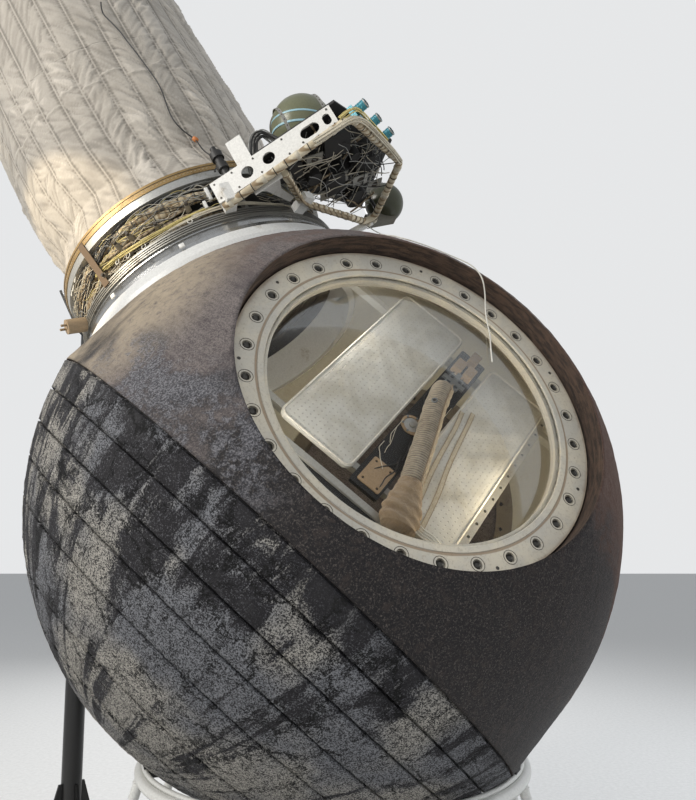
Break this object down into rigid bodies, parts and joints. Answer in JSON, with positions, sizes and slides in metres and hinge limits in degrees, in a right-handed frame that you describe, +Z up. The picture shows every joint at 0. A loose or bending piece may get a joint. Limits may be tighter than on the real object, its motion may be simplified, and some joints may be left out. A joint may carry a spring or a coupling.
{
  "type": "space capsule",
  "caption": "Spherical descent capsule with a bolted ring hatch under a clear dome and a deployed fabric airlock with equipment bay and console, on a ring stand and column.",
  "frame": {"origin": "on the floor, straight below the centre of the ball", "axes": "+Z up, +X to the capsule's right with the side hatch in front, +Y to the back"},
  "size_m": [3.27, 2.328, 4.7768],
  "materials": {
    "leeward_ablator": "scorched",
    "windward_ablator": "charred",
    "liner": "satin",
    "hatch_metal": "stained",
    "clear_dome": "polished",
    "white_paint": "worn",
    "polished_metal": "polished",
    "bay_metal": "worn",
    "bay_dark": "matt",
    "taped_tube": "wrapped",
    "canister_metal": "worn",
    "gold_band": "aged",
    "sleeve_cloth": "stitched",
    "top_metal": "satin",
    "pin_steel": "machined",
    "bottle_green": "gloss",
    "strap_metal": "matt",
    "connector_blue": "satin",
    "stand_paint": "gloss",
    "block_wood": "raw",
    "pad_rubber": "matt",
    "column_paint": "satin",
    "panel_cloth": "dotted",
    "rail_metal": "satin",
    "cabin_dark": "matt",
    "buckle_metal": "worn",
    "hose_cloth": "ribbed",
    "lead_white": "limp",
    "lead_black": "worn",
    "cuff_cloth": "woven"
  },
  "bodies": {
    "capsule": {"airlock_adapter": "polished_metal", "airlock_collar": "white_paint", "airlock_sleeve": "sleeve_cloth", "bay_canisters": "canister_metal", "bay_conduits": "taped_tube", "bay_lower_ring": "bay_metal", "bay_posts": "bay_metal", "bay_upper_ring": "polished_metal", "bay_wall": "bay_dark", "black_lead": "lead_black", "bottle_seats": "strap_metal", "bottle_strap": "strap_metal", "cabin_box": "cabin_dark", "cabin_liner": "liner", "cabin_panels": "panel_cloth", "cabin_rails": "rail_metal", "cabin_spine": "cabin_dark", "column_base": "column_paint", "column_post": "column_paint", "column_saddle": "column_paint", "connectors": "connector_blue", "console_bar": "white_paint", "console_brackets": "white_paint", "console_equipment": "bay_dark", "console_frame": "taped_tube", "console_shelf": "bay_dark", "console_upright": "white_paint", "console_valve": "bay_dark", "dome_retainer": "hatch_metal", "harness_buckle": "buckle_metal", "harness_straps": "cuff_cloth", "hatch_dome": "clear_dome", "hatch_frame": "hatch_metal", "hatch_seats": "hatch_metal", "hinge_pins": "pin_steel", "hose_cuff": "cuff_cloth", "large_bottle": "bottle_green", "leeward_shell": "leeward_ablator", "perforated_rail": "rail_metal", "rear_hatch_cover": "leeward_ablator", "side_valve": "canister_metal", "sleeve_clamp": "gold_band", "sleeve_head": "sleeve_cloth", "sleeve_middle": "sleeve_cloth", "small_bottle": "bottle_green", "spine_fittings": "rail_metal", "stand_blocks": "block_wood", "stand_collar_ring": "stand_paint", "stand_feet": "stand_paint", "stand_floor_ring": "stand_paint", "stand_legs": "stand_paint", "stand_pads": "pad_rubber", "stand_upper_ring": "stand_paint", "suit_hose": "hose_cloth", "top_bulkhead": "top_metal", "top_handrails": "top_metal", "top_ring": "top_metal", "white_lead": "lead_white", "windward_shield": "windward_ablator"},
    "airlock_door": {"outer_hatch": "top_metal"}
  },
  "joints": [
    {"name": "outer_hatch_hinge", "type": "hinge", "parent": "capsule", "child": "airlock_door", "pos_m": [-1.56776, 0.91943, 4.34964], "axis": [0.8902, 0.0849, 0.4476], "range_deg": [0, 95]}
  ]
}
